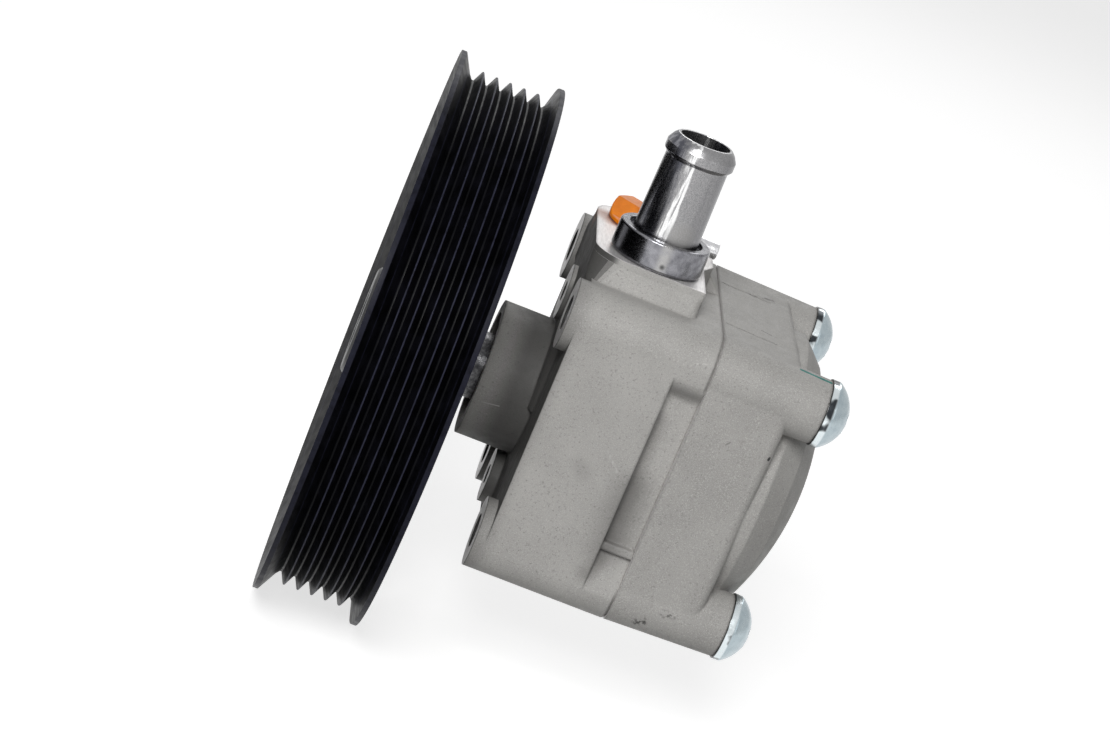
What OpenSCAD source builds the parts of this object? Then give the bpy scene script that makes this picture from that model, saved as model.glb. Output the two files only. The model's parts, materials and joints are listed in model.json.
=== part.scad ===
// Power steering pump: a balanced vane pump in a two-piece aluminium housing,
// with a six-groove belt pulley, a steel suction pipe and a plugged pressure port.
// The shaft lies along X with the pulley towards -X. The origin is on the shaft's axis,
// in the plane of the machined mounting bosses, and +Z points out of the ports.

/* [Housing] */
// Distance between the corner bosses across the pump (Y)
boss_spacing_y = 60; // [60:0.5:66]
// Distance between the corner bosses up the pump (Z)
boss_spacing_z = 58.4; // [58:0.2:64]
// Radius of the corner bosses and bolt barrels
barrel_r = 8.7; // [8.4:0.1:9.2]
// Length of the front housing, from the mounting face to the split
housing_len = 36.2; // [36:0.2:40]
// How far the front wall lies behind the mounting face
wall_recess = 2.6; // [2:0.1:3.5]
// Radius of the cavity that holds the pumping set
cavity_r = 31.4; // [31.2:0.1:31.8]
// Distance from the mounting face to the cavity's floor
floor_x = 10.6; // [10.4:0.1:11]
// Radius of the tapped mounting holes
mount_hole_r = 4.25; // [3.4:0.05:4.5]
// Depth of the tapped mounting holes
mount_hole_depth = 15; // [12:0.5:16]
// Radius of the two small bosses above and below the nose
small_boss_r = 7; // [6:0.1:7.4]
// Distance of the small bosses from the shaft's axis
small_boss_z = 25.4; // [25.2:0.1:27]
// Radius of the tapped holes in the small bosses
small_hole_r = 2.5; // [2:0.1:3]
// Depth of the tapped holes in the small bosses
small_hole_depth = 8; // [5:0.5:8]
// Width of the seam's groove in front of the split
seam_w = 0.6; // [0.3:0.1:0.9]
// Depth of the seam's groove
seam_depth = 0.7; // [0.3:0.1:0.9]
// Length of the channel along the near side, before the split
channel_len = 8.2; // [6:0.1:9]
// Depth of the channel
channel_depth = 3.4; // [2:0.1:3.8]
// Top of the channel
channel_top_z = 27; // [20:0.1:27.4]
// Ledge at the bottom of the channel
channel_low_z = -17.6; // [-22:0.1:-14]
// Length of the pocket below the ledge, which runs out to the surface
runout_len = 11; // [8:0.5:12]

/* [Nose] */
// Radius of the nose round the shaft
nose_r = 17.3; // [17:0.1:18]
// How far the nose stands in front of the mounting face
nose_len = 11.8; // [11:0.1:13]
// Outer radius of the shaft seal
seal_r = 14; // [13:0.1:15]
// Width of the shaft seal
seal_w = 7; // [5:0.5:8]
// Distance from the nose's end to the seal
seal_inset = 1.6; // [1:0.1:2.5]

/* [Port pad] */
// Height of the machined port face over the shaft's axis
pad_z = 44; // [43:0.1:46]
// Front edge of the port pad
pad_front_x = 1.1; // [0.6:0.1:2]
// Rear edge of the port pad
pad_rear_x = 28.9; // [28:0.1:30]
// Half the width of the port pad
pad_half_w = 24; // [23.5:0.1:26]
// Radius of the pad's front corners
pad_corner_r = 8.5; // [5:0.5:10]
// Distance of both ports behind the mounting face
port_x = 16; // [15.8:0.1:16.6]
// Suction port, measured across the pump
suction_y = -13; // [-13.4:0.1:-12.8]
// Pressure port, measured across the pump
pressure_y = 14; // [13.8:0.1:14.4]
// Radius of the suction port
suction_port_r = 9.9; // [9.8:0.05:10.2]
// Depth of the suction port's wide bore
suction_port_depth = 9; // [8.5:0.1:9.5]
// Radius of the pressure port
pressure_port_r = 8; // [7:0.1:8.5]
// Depth of the pressure port
pressure_port_depth = 10; // [9:0.1:10.5]
// Radius of the oil drillings
gallery_r = 2.4; // [2:0.1:2.8]

/* [Cover] */
// Length of the cover's square part, from the split
cover_len = 20.8; // [20:0.1:22]
// Distance from the split to the bolt seats
seat_len = 27.6; // [26.6:0.1:28.4]
// How much the cover narrows on each side from the split to the bolt seats
cover_draft = 0.8; // [0:0.1:1]
// Radius of the rounded shoulder behind the cover's walls
shoulder_r = 2.5; // [1:0.1:3]
// How far the cover's bolt barrels stand proud of its walls
barrel_proud = 0.3; // [0.2:0.05:0.5]
// Height of the dome behind the cover's square part
dome_h = 15.6; // [15:0.1:18]
// Distance from the dome's rim to the cover's top wall
dome_inset = 0.55; // [0.4:0.05:1]
// Radius of the ball that rounds the dome
dome_ball_r = 68; // [60:1:72]
// Width of the chamfer round the dome's rim
dome_edge = 2.4; // [1:0.1:3]
// Width of the thin lines in the cover's top
line_w = 0.5; // [0.3:0.1:0.8]
// Depth of the thin lines
line_depth = 0.35; // [0.2:0.05:0.5]
// Distance of the thin lines from the middle
line_y = 17.4; // [16:0.1:19]
// Length of the thin lines
line_len = 13.4; // [10:0.1:15]

/* [Cover bolts] */
// Radius of the bolts' threaded shank
bolt_r = 4; // [3.8:0.1:4.1]
// Length of the bolts under the head
bolt_len = 44; // [42:0.5:45]
// Radius of the domed heads
bolt_head_r = 8.3; // [7.6:0.1:8.4]
// Height of the domed heads
bolt_head_h = 6.8; // [6:0.1:7]
// Height of the straight rim of the heads
bolt_rim_h = 2; // [1.5:0.1:3]
// Depth of the six-lobe drive in the heads
drive_depth = 3.2; // [2.5:0.1:3.6]

/* [Shaft] */
// Radius of the shaft in the hub and the front bush
shaft_r = 8.5; // [8:0.1:8.8]
// Radius of the splined length in the rotor
spline_r = 7.6; // [7.2:0.1:7.8]
// Number of spline teeth
spline_teeth = 18; // [12:1:20]
// Depth of the spline teeth
spline_depth = 0.9; // [0.6:0.1:1]
// Radius of the rear journal
journal_r = 6.6; // [6:0.1:6.8]
// Length of the rear journal behind the pumping set
journal_len = 13; // [12:0.5:14]
// Wall of the plain bushes
bush_wall = 1.1; // [1:0.1:1.4]
// Radial clearance of the bushes on the shaft
bush_fit = 0.04; // [0.02:0.01:0.08]
// Radial clearance of parts pressed or seated in a bore
seat_fit = 0.02; // [0.02:0.01:0.03]

/* [Pumping set] */
// Outer radius of the plates and the cam ring
set_r = 29; // [28.6:0.1:29.4]
// Thickness of the front pressure plate
front_plate_w = 7; // [6:0.1:7.5]
// Thickness of the cam ring
cam_w = 17; // [15:0.1:17]
// Thickness of the rear port plate
rear_plate_w = 7; // [6:0.1:7.5]
// Radius of the rotor
rotor_r = 19; // [18.5:0.1:19.4]
// Smallest radius inside the cam ring
cam_small_r = 19.6; // [19.5:0.1:20]
// Rise of the cam's two lobes
cam_rise = 2.6; // [2:0.1:3]
// Clearance on each side of the rotor
side_gap = 0.04; // [0.03:0.01:0.06]
// Number of vanes
vane_count = 10; // [10:2:12]
// Thickness of a vane
vane_t = 1.6; // [1.4:0.1:2]
// Radial length of a vane
vane_h = 7; // [6:0.1:7.5]
// Clearance of a vane in its slot
vane_fit = 0.03; // [0.02:0.01:0.05]
// Radius of the two dowel pins through the set
dowel_r = 2; // [1.5:0.1:2.2]
// Distance of the dowel pins from the shaft's axis
dowel_at = 25.4; // [25:0.1:25.8]

/* [Pulley] */
// Outer radius of the belt ridges
ridge_r = 66.8; // [60:0.1:70]
// Depth of the belt grooves
groove_depth = 2.8; // [2.4:0.1:3]
// Pitch of the belt grooves
groove_pitch = 3.56; // [3.56:0.01:3.7]
// Number of belt grooves
groove_count = 6; // [5:1:6]
// How far the flanges stand over the ridges
flange_rise = 3.1; // [2:0.1:4]
// Thickness of the flanges' rims
flange_t = 1.3; // [1:0.1:1.6]
// Distance from the front flange's outer face to the first groove
flange_inset = 5; // [4.6:0.1:6]
// Distance from the last groove to the rear flange's outer face
rear_flange_inset = 3.75; // [3.6:0.05:6]
// Thickness of the rim under the grooves
rim_wall = 2.2; // [1.8:0.1:3]
// Distance of the pulley's front face in front of the mounting face
pulley_front = 44.1; // [44:0.1:47]
// Distance of the web's outer part behind the pulley's front face
web_recess = 12; // [10:0.1:13]
// How far the web's inner part is dished towards the pump
web_dish = 8; // [6:0.1:8.4]
// Thickness of the web
web_t = 3; // [2.4:0.1:4]
// Radius of the round openings in the web
web_hole_r = 9; // [6:0.5:10]
// Number of openings in the web
web_hole_count = 5; // [3:1:6]
// Radius of the openings' circle
web_hole_at = 41; // [40:0.5:42]
// Outer radius of the hub
hub_r = 13.9; // [13:0.1:14.5]
// Length of the hub
hub_len = 29.4; // [28:0.1:30]

/* [Suction pipe] */
// Outer radius of the suction pipe
pipe_r = 7.75; // [7:0.05:8]
// Outer radius of the suction pipe's foot, which stands in the collar's groove
pipe_foot_r = 8.1; // [7.8:0.05:8.3]
// Wall of the suction pipe
pipe_wall = 1.6; // [1.2:0.1:2]
// Height of the pipe's mouth over the shaft's axis
pipe_top_z = 75.4; // [70:0.1:80]
// Outer radius of the hose bead
bead_r = 8.6; // [8.3:0.1:9]
// Length of the hose bead
bead_len = 5.4; // [4.6:0.1:6]
// Outer radius of the collar
collar_r = 11.4; // [11:0.1:11.6]
// Height of the collar
collar_h = 7.4; // [7:0.1:8]
// Depth of the groove between the collar and the pipe
collar_groove = 1.4; // [1:0.1:2]
// Radius of the lock pin
pin_r = 2.2; // [1.8:0.1:2.4]
// Length of the lock pin
pin_len = 12; // [10:0.1:12.5]
// Height of the lock pin over the port face
pin_up = 4.8; // [4.4:0.1:5]
// Distance of the lock pin from the suction port's axis
pin_off = 12; // [11.8:0.1:12.2]
// Radial clearance of the lock pin
pin_fit = 0.02; // [0.02:0.01:0.04]

/* [Port plug] */
// Radius of the plug's cap
plug_r = 12; // [11:0.1:12.2]
// Thickness of the plug's cap
plug_h = 4.2; // [3:0.1:5]
// Radial clearance of the plug's stem
plug_fit = 0.1; // [0.05:0.01:0.3]

/* [Flow valve] */
// Radius of the valve's bore
valve_r = 6.4; // [6:0.1:6.5]
// Distance of the valve's bore under the shaft's axis
valve_z = 16.4; // [16.2:0.1:16.8]
// Distance of the valve's bore behind the split
valve_x = 15.4; // [15:0.1:16]
// Length of the valve's spool
spool_len = 26; // [24:0.5:27]
// Free travel of the spool
spool_travel = 6; // [4:0.5:6]
// Radial clearance of the spool
spool_fit = 0.03; // [0.02:0.01:0.05]
// Length of the valve's screw plug
valve_plug_len = 9; // [8:0.5:10]
// Wire radius of the valve's spring
spring_wire_r = 0.6; // [0.5:0.05:0.8]
// Turns of the valve's spring
spring_turns = 6; // [5:1:7]

/* [Hidden] */

$fn = 96;
// Overlap of a cut past the face it opens
cut = 0.5;
// Depth of a drill's end below what sits in its hole
drill_end = 1.4;
boss_y = boss_spacing_y / 2;
boss_z = boss_spacing_z / 2;
side_y = boss_y + barrel_r;
side_z = boss_z + barrel_r;
nose_x = -nose_len;
split_x = housing_len;
shoulder_x = split_x + cover_len;
seat_x = split_x + seat_len;

// Cover's walls at the split and at the shoulder
cover_y = side_y - barrel_proud;
cover_z = side_z - barrel_proud;
shoulder_draft = cover_draft * cover_len / seat_len;
shoulder_y = cover_y - shoulder_draft;
shoulder_z = cover_z - shoulder_draft;
dome_r = shoulder_z - dome_inset;

// Pumping set, stacked from the cavity's floor
set_fit = 0.05;
front_plate_x = floor_x + set_fit;
cam_x = front_plate_x + front_plate_w;
rear_plate_x = cam_x + cam_w;
set_end_x = rear_plate_x + rear_plate_w;
cover_recess_x = set_end_x + set_fit;
seal_back_x = nose_x + seal_inset + seal_w;
seal_bore_end_x = seal_back_x + set_fit;
bush_r = shaft_r + bush_fit + bush_wall;
bush_step = 1.2;
bush_inset = 0.7;
front_bush_x = seal_bore_end_x + bush_step;
front_bush_len = floor_x - front_bush_x - bush_inset;
rear_bush_r = journal_r + bush_fit + bush_wall;
rear_bush_x = cover_recess_x + bush_inset;
journal_end_x = set_end_x + journal_len;
rear_bush_len = journal_end_x - rear_bush_x - bush_inset;
journal_room = 1.2;

// Snap ring behind the rotor
snap_gap = 0.4;
snap_w = 1;
snap_land = 0.8;
snap_x = rear_plate_x + snap_gap;
snap_end_x = snap_x + snap_w;

// Seal rings: section radius, and how much wider than the ring its groove is
ring_t = 0.9;
ring_room = 0.1;
ring_proud = 0.02;
ring_land = 2;
plate_ring_r = 24.4;
cover_ring_r = cavity_r + ring_land;
plate_bore_fit = 0.6;

// Pulley
pulley_x = -pulley_front;
valley_r = ridge_r - groove_depth;
flange_r = ridge_r + flange_rise;
ridge_flat = 0.3;
valley_flat = 0.5;
first_groove_x = pulley_x + flange_inset;
groove_end_x = first_groove_x + (groove_count - 1) * groove_pitch;
pulley_end_x = groove_end_x + rear_flange_inset;
rim_in_r = valley_r - rim_wall;
web_front_x = pulley_x + web_recess;
hub_inset = 0.6;
hub_x = pulley_x + hub_inset;

// Suction pipe and its lock pin
collar_top_z = pad_z + collar_h;
collar_bore_r = pipe_r + seat_fit;
port_fit = 0.05;
port_floor_gap = 1;
neck_r = suction_port_r - port_fit;
neck_len = suction_port_depth - port_floor_gap;
pipe_end_z = pad_z - neck_len;
pin_y = suction_y + pin_off;
pin_z = pad_z + pin_up;
pin_proud = 1.6;
pin_end_gap = 0.2;
pin_end_x = pad_rear_x + pin_proud;
pin_x = pin_end_x - pin_len;
ear_len = 2.6;
ear_x = pad_rear_x + ear_len;
lug_half = 2.9;
ear_from_y = pin_y - lug_half - ring_room;

// Flow valve
valve_at_x = split_x + valve_x;
valve_step = 0.8;
valve_plug_r = valve_r + valve_step;
valve_open_y = cover_y - cover_draft;
spool_gap = 1;
spool_y = valve_open_y - valve_plug_len - spool_len - spool_gap;
spring_len = 14;
valve_end_y = spool_y - spring_len;
spring_room = 1.6;
spring_r = valve_r - spring_room;
// Middle of the valve plug's sealing ring
plug_ring_inset = 2.4;
plug_ring_y = valve_open_y - valve_plug_len + plug_ring_inset;

// A cylinder along X from x0 to x1
module x_rod(r, x0, x1) {
    translate([x0, 0, 0])
        rotate([0, 90, 0])
            cylinder(r = r, h = x1 - x0);
}

// A cylinder along Z from z0 to z1
module z_rod(r, z0, z1) {
    translate([0, 0, z0])
        cylinder(r = r, h = z1 - z0);
}

// A cylinder along Y from y0 to y1
module y_rod(r, y0, y1) {
    translate([0, y1, 0])
        rotate([90, 0, 0])
            cylinder(r = r, h = y1 - y0);
}

// A splined bar along X from x0 to x1; room widens it on all sides
module splined_rod(room, x0, x1) {
    pitch = 360 / spline_teeth;
    tip_share = 0.15;
    root_share = 0.35;
    tip_r = spline_r + room;
    root_r = tip_r - spline_depth;
    tooth = [
        [-root_share, root_r],
        [-tip_share, tip_r],
        [tip_share, tip_r],
        [root_share, root_r]
    ];
    translate([x0, 0, 0])
        rotate([0, 90, 0])
            linear_extrude(x1 - x0)
                polygon([
                    for (i = [0 : spline_teeth - 1])
                        for (p = tooth)
                            p[1] * [cos((i + p[0]) * pitch), sin((i + p[0]) * pitch)]
                ]);
}

// Turns a profile of [radius, x] about the shaft's axis
module x_turned() {
    rotate([0, 90, 0])
        rotate_extrude()
            children();
}

// Places a child at each of the four corner bosses
module at_corners() {
    for (y = [-boss_y, boss_y])
        for (z = [-boss_z, boss_z])
            translate([0, y, z])
                children();
}

// The body's rounded square outline from x0 to x1, set in on all sides by inset
module body_block(x0, x1, inset) {
    half_y = side_y - inset;
    half_z = side_z - inset;
    translate([x0, -half_y, -boss_z])
        cube([x1 - x0, 2 * half_y, 2 * boss_z]);
    translate([x0, -boss_y, -half_z])
        cube([x1 - x0, 2 * boss_y, 2 * half_z]);
    at_corners()
        x_rod(barrel_r - inset, x0, x1);
}

// A sealing ring about X, with its middle at x
module x_ring(r, x) {
    translate([x, 0, 0])
        x_turned()
            translate([r, 0])
                circle(r = ring_t, $fn = 24);
}

// The square groove that holds a ring about X; it opens at x towards +X
module x_ring_groove(r, x) {
    deep = 2 * ring_t + ring_room;
    difference() {
        x_rod(r + ring_t + ring_room, x - deep, x + cut);
        x_rod(r - ring_t - ring_room, x - deep - cut, x + 2 * cut);
    }
}

/* Front housing */

// The port pad's outline, seen from above
module pad_outline() {
    square_x = pad_front_x + pad_corner_r;
    translate([square_x, -pad_half_w])
        square([pad_rear_x - square_x, 2 * pad_half_w]);
    translate([pad_front_x, pad_corner_r - pad_half_w])
        square([pad_rear_x - pad_front_x, 2 * (pad_half_w - pad_corner_r)]);
    for (side = [-1, 1])
        translate([square_x, side * (pad_half_w - pad_corner_r)])
            circle(r = pad_corner_r);
    polygon([
        [port_x, ear_from_y],
        [pad_rear_x, ear_from_y],
        [ear_x, pin_y + lug_half],
        [ear_x, pad_half_w - pad_corner_r],
        [pad_rear_x, pad_half_w - pad_corner_r / 2],
        [port_x, pad_half_w - pad_corner_r / 2]
    ]);
}

// One level of the pad's foot: its outline set out by w, with front corners of radius r
module foot_level(w, r, z, h) {
    rear_r = 2;
    for (side = [-1, 1]) {
        translate([pad_front_x + r, side * (pad_half_w + w - r), z])
            cylinder(r = r, h = h, $fn = 32);
        translate([pad_rear_x - rear_r, side * (pad_half_w + w - rear_r), z])
            cylinder(r = rear_r, h = h, $fn = 32);
    }
}

module port_pad() {
    linear_extrude(pad_z)
        pad_outline();
    // The pad's flared foot, which starts under a small step
    step_down = 1.4;
    step_w = 0.3;
    foot_sunk = 0.6;
    foot_w = 3.2;
    foot_r = 4;
    slab = 0.1;
    hull() {
        foot_level(step_w, pad_corner_r, pad_z - step_down - slab, slab);
        foot_level(foot_w, foot_r, boss_z, side_z - foot_sunk - boss_z);
    }
    // The metal behind the pressure port, sloping down to the split
    slope_gap = 1;
    slope_y = pin_y + lug_half + slope_gap;
    slope_z = pad_z - slope_gap;
    translate([0, slope_y, 0])
        rotate([90, 0, 0])
            mirror([0, 0, 1])
                linear_extrude(pad_half_w - pad_corner_r / 2 - slope_y)
                    polygon([
                        [port_x, boss_z],
                        [port_x, slope_z],
                        [ear_x - slope_gap, slope_z],
                        [split_x - seam_w, side_z],
                        [split_x - seam_w, boss_z]
                    ]);
}

// The lug beside the suction port that carries the lock pin
module pin_lug() {
    lug_from_port = 5.6;
    lug_inset = 3.4;
    cap_len = 3.2;
    lug_room = 0.4;
    lug_x = port_x + lug_from_port;
    lug_end_x = ear_x - lug_inset;
    cap_end_x = lug_x + cap_len;
    difference() {
        union() {
            translate([lug_x, pin_y - lug_half, pad_z - cut])
                cube([lug_end_x - lug_x, 2 * lug_half, pin_up + cut]);
            translate([0, pin_y, pin_z])
                x_rod(lug_half, lug_x, cap_end_x);
        }
        translate([port_x, suction_y, 0])
            z_rod(collar_r + lug_room, pad_z, collar_top_z + 2 * pin_r);
        translate([port_x, pressure_y, 0])
            z_rod(plug_r + lug_room, pad_z, collar_top_z + 2 * pin_r);
    }
}

// The channel along the near side, with a ledge across it and a pocket that runs out
module side_channel() {
    top_ramp = 6.5;
    steps = 12;
    ledge_w = 2;
    ledge_share = 0.45;
    pocket_share = 0.85;
    ledge_depth = ledge_share * channel_depth;
    pocket_depth = pocket_share * channel_depth;
    pocket_z = channel_low_z - ledge_w;
    outer = side_y + cut;
    translate([split_x - channel_len, 0, 0])
        rotate([90, 0, 90])
            linear_extrude(channel_len + cut)
                polygon(concat(
                    [[-outer, channel_top_z]],
                    [
                        for (i = [0 : steps])
                            let (sunk = (1 - cos(180 * i / steps)) / 2)
                                [channel_depth * sunk - side_y, channel_top_z - top_ramp * i / steps]
                    ],
                    [
                        [channel_depth - side_y, channel_low_z],
                        [ledge_depth - side_y, channel_low_z],
                        [ledge_depth - side_y, pocket_z],
                        [pocket_depth - side_y, pocket_z],
                        [-side_y, pocket_z - runout_len],
                        [-outer, pocket_z - runout_len]
                    ]
                ));
}

module housing_passages() {
    drill_wall = 1.4;
    inlet_share = 0.9;
    cavity_top_share = 0.75;
    // Suction port, with a narrower bore into the cavity's top
    translate([port_x, suction_y, 0])
        z_rod(suction_port_r, pad_z - suction_port_depth, pad_z + cut);
    inlet_r = inlet_share * (port_x - floor_x);
    translate([port_x, suction_y, 0])
        z_rod(inlet_r, cavity_top_share * cavity_r, pad_z);
    // Pressure port, with drillings down to the chamber in front of the set
    pressure_end_z = pad_z - pressure_port_depth;
    gallery_x = floor_x - gallery_r - drill_wall;
    gallery_at = plate_ring_r - ring_t - ring_room - gallery_r - drill_wall;
    gallery_z = sqrt(pow(gallery_at, 2) - pow(pressure_y, 2));
    translate([port_x, pressure_y, 0])
        z_rod(pressure_port_r, pressure_end_z, pad_z + cut);
    translate([0, pressure_y, pressure_end_z + gallery_r])
        x_rod(gallery_r, gallery_x, port_x);
    translate([gallery_x, pressure_y, 0])
        z_rod(gallery_r, gallery_z, pressure_end_z + gallery_r);
    translate([0, pressure_y, gallery_z])
        x_rod(gallery_r, gallery_x, floor_x + cut);
}

module front_housing() {
    color([0.62, 0.61, 0.59])
        difference() {
            union() {
                body_block(wall_recess, split_x - seam_w, 0);
                body_block(wall_recess, split_x, seam_depth);
                at_corners()
                    x_rod(barrel_r, 0, split_x - seam_w);
                for (side = [-1, 1])
                    translate([0, 0, side * small_boss_z])
                        x_rod(small_boss_r, 0, floor_x);
                x_rod(nose_r, nose_x, floor_x);
                port_pad();
                pin_lug();
            }
            // Cavity, seal bore and bush bore
            x_rod(cavity_r, floor_x, split_x + cut);
            x_rod(seal_r + seat_fit, nose_x - cut, seal_bore_end_x);
            x_rod(bush_r + seat_fit, nose_x, floor_x + cut);
            // Tapped holes
            at_corners() {
                x_rod(mount_hole_r, -cut, mount_hole_depth);
                x_rod(bolt_r + port_fit, seat_x - bolt_len - drill_end, split_x + cut);
            }
            for (side = [-1, 1])
                translate([0, 0, side * small_boss_z])
                    x_rod(small_hole_r, -cut, small_hole_depth);
            housing_passages();
            side_channel();
            translate([0, pin_y, pin_z])
                x_rod(pin_r + pin_fit, pin_x - pin_end_gap, ear_x + cut);
            // Groove for the ring in front of the pumping set
            x_ring_groove(plate_ring_r, floor_x);
        }
}

module shaft_seal() {
    lip = 1.6;
    color([0.12, 0.12, 0.12])
        difference() {
            x_rod(seal_r, nose_x + seal_inset, seal_back_x);
            x_rod(shaft_r + bush_fit, nose_x, seal_back_x + cut);
            difference() {
                x_rod(seal_r - lip, nose_x, seal_back_x - seal_w + lip);
                x_rod(shaft_r + lip, nose_x - cut, seal_back_x);
            }
            difference() {
                x_rod(seal_r - lip, seal_back_x - seal_w + 2 * lip, seal_back_x + cut);
                x_rod(shaft_r + lip, nose_x, seal_back_x + 2 * cut);
            }
        }
}

module front_bush() {
    color([0.6, 0.5, 0.35])
        difference() {
            x_rod(bush_r, front_bush_x, front_bush_x + front_bush_len);
            x_rod(shaft_r + bush_fit, nose_x, floor_x + cut);
        }
}

/* Rotating group */

module drive_shaft() {
    shaft_inset = 1.6;
    shaft_x = hub_x + shaft_inset;
    thread_r = 3.4;
    thread_len = 18;
    color([0.66, 0.66, 0.68])
        difference() {
            union() {
                x_rod(shaft_r, shaft_x, cam_x - side_gap);
                splined_rod(0, cam_x - 2 * side_gap, snap_end_x + snap_land);
                x_rod(journal_r, rear_plate_x, journal_end_x);
            }
            x_rod(thread_r, shaft_x - cut, shaft_x + thread_len);
            // Groove for the rotor's snap ring
            difference() {
                x_rod(spline_r + cut, snap_x - ring_room, snap_end_x + ring_room);
                x_rod(journal_r, rear_plate_x, snap_end_x + snap_land);
            }
        }
}

module pulley_hub() {
    groove_from = 3.4;
    groove_w = 3;
    groove_in = 1.6;
    edge = 1;
    groove_x = hub_x + groove_from;
    groove_end = groove_x + groove_w;
    hub_end_x = hub_x + hub_len;
    color([0.2, 0.2, 0.21])
        x_turned()
                polygon([
                    [shaft_r + seat_fit, hub_x],
                    [hub_r - edge, hub_x],
                    [hub_r, hub_x + edge],
                    [hub_r, groove_x],
                    [hub_r - groove_in, groove_x],
                    [hub_r - groove_in, groove_end],
                    [hub_r, groove_end],
                    [hub_r, hub_end_x - 2 * edge],
                    [hub_r - 2 * edge, hub_end_x],
                    [shaft_r + seat_fit, hub_end_x]
                ]);
}

// One belt groove and the ridge behind it, as points of [radius, x]
function groove_points(i) = let (x = first_groove_x + i * groove_pitch, half = groove_pitch / 2) [
    [valley_r, x - valley_flat / 2],
    [valley_r, x + valley_flat / 2],
    [ridge_r, x + half - ridge_flat / 2],
    [ridge_r, x + half + ridge_flat / 2]
];

module pulley() {
    last = groove_count - 1;
    foot_rise = 1.1;
    rim_lip = 1.6;
    rim_chamfer = 3;
    boss_len = 7;
    corner = 1;
    web_out = 14;
    foot_r = valley_r + foot_rise;
    web_in_x = web_front_x + web_dish;
    seat_r = hub_r + seat_fit;
    rim = concat(
        [[flange_r, pulley_x], [flange_r, pulley_x + flange_t]],
        [[foot_r, first_groove_x - foot_rise]],
        [for (i = [0 : last - 1]) for (p = groove_points(i)) p],
        [[valley_r, groove_end_x - valley_flat / 2], [valley_r, groove_end_x + valley_flat / 2]],
        [[foot_r, groove_end_x + foot_rise]],
        [[flange_r, pulley_end_x - flange_t], [flange_r, pulley_end_x]],
        [[rim_in_r, pulley_end_x - rim_lip], [rim_in_r, web_front_x + web_t]],
        [[rim_in_r - web_out, web_front_x + web_t]],
        [[hub_r + web_out, web_in_x + web_t], [hub_r + web_t, web_in_x + web_t]],
        [[hub_r + web_t, web_in_x + boss_len], [seat_r, web_in_x + boss_len]],
        [[seat_r, web_in_x], [hub_r + web_out - corner, web_in_x]],
        [[rim_in_r - web_out - corner, web_front_x], [rim_in_r, web_front_x]],
        [[rim_in_r, pulley_x + rim_chamfer]]
    );
    color([0.07, 0.07, 0.08])
        difference() {
            x_turned()
                polygon(rim);
            for (i = [0 : web_hole_count - 1])
                rotate([i * 360 / web_hole_count, 0, 0])
                    translate([0, 0, web_hole_at])
                        x_rod(web_hole_r, pulley_x, pulley_end_x);
        }
}

/* Pumping set */

module front_plate_o_ring() {
    color([0.1, 0.1, 0.1])
        x_ring(plate_ring_r, floor_x - ring_t + ring_proud);
}

module rear_plate_o_ring() {
    color([0.1, 0.1, 0.1])
        x_ring(plate_ring_r, cover_recess_x + ring_t - ring_proud);
}

// Places a child at each of the two dowel pins
module dowel_places() {
    dowel_turn = 20;
    for (side = [-1, 1])
        rotate([side * 90 + dowel_turn, 0, 0])
            translate([0, 0, dowel_at])
                children();
}

module set_plate(x, w) {
    port_r = 2.6;
    port_at = 16.4;
    port_turn = 12;
    difference() {
        x_rod(set_r, x, x + w);
        x_rod(shaft_r + plate_bore_fit, x - cut, x + w + cut);
        dowel_places()
            x_rod(dowel_r + seat_fit, x - cut, x + w + cut);
        for (a = [45 : 90 : 315])
            for (turn = [-port_turn, port_turn])
                rotate([a + turn, 0, 0])
                    translate([0, 0, port_at])
                        x_rod(port_r, x - cut, x + w + cut);
    }
}

module front_plate() {
    color([0.45, 0.45, 0.46])
        set_plate(front_plate_x, front_plate_w);
}

module rear_plate() {
    color([0.45, 0.45, 0.46])
        set_plate(rear_plate_x, rear_plate_w);
}

function cam_r(a) = cam_small_r + cam_rise * (1 - cos(2 * a)) / 2;

module cam_ring() {
    steps = 72;
    color([0.4, 0.4, 0.41])
        difference() {
            x_rod(set_r, cam_x, rear_plate_x);
            translate([cam_x - cut, 0, 0])
                rotate([0, 90, 0])
                    linear_extrude(cam_w + 2 * cut)
                        polygon([
                            for (i = [0 : steps - 1])
                                let (a = i * 360 / steps)
                                    cam_r(a) * [cos(a), sin(a)]
                        ]);
            dowel_places()
                x_rod(dowel_r + seat_fit, cam_x - cut, rear_plate_x + cut);
        }
}

module rotor() {
    slot_room = 0.3;
    slot_r = rotor_r - vane_h - slot_room;
    color([0.55, 0.55, 0.57])
        difference() {
            x_rod(rotor_r, cam_x + side_gap, rear_plate_x - side_gap);
            splined_rod(seat_fit, cam_x - cut, rear_plate_x + cut);
            for (i = [0 : vane_count - 1])
                rotate([i * 360 / vane_count, 0, 0])
                    translate([cam_x - cut, -vane_t / 2 - vane_fit, slot_r])
                        cube([cam_w + 2 * cut, vane_t + 2 * vane_fit, vane_h + slot_room + cut]);
        }
}

module vane(i) {
    vane_out = 0.1;
    vane_base_r = rotor_r - vane_h + vane_out;
    color([0.7, 0.7, 0.72])
        rotate([(i - 1) * 360 / vane_count, 0, 0])
            translate([cam_x + side_gap, -vane_t / 2, vane_base_r])
                cube([cam_w - 2 * side_gap, vane_t, vane_h]);
}

module rotor_snap_ring() {
    opening = 4;
    rise = 0.5;
    color([0.5, 0.5, 0.5])
        difference() {
            x_rod(spline_r + rise, snap_x, snap_end_x);
            x_rod(journal_r + seat_fit, snap_x - cut, snap_end_x + cut);
            translate([snap_x - cut, -opening / 2, 0])
                cube([snap_w + 2 * cut, opening, 2 * spline_r]);
        }
}

module dowel_pins() {
    dowel_inset = 0.5;
    color([0.7, 0.7, 0.72])
        dowel_places()
            x_rod(dowel_r, front_plate_x + dowel_inset, set_end_x - dowel_inset);
}

/* Rear cover */

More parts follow.
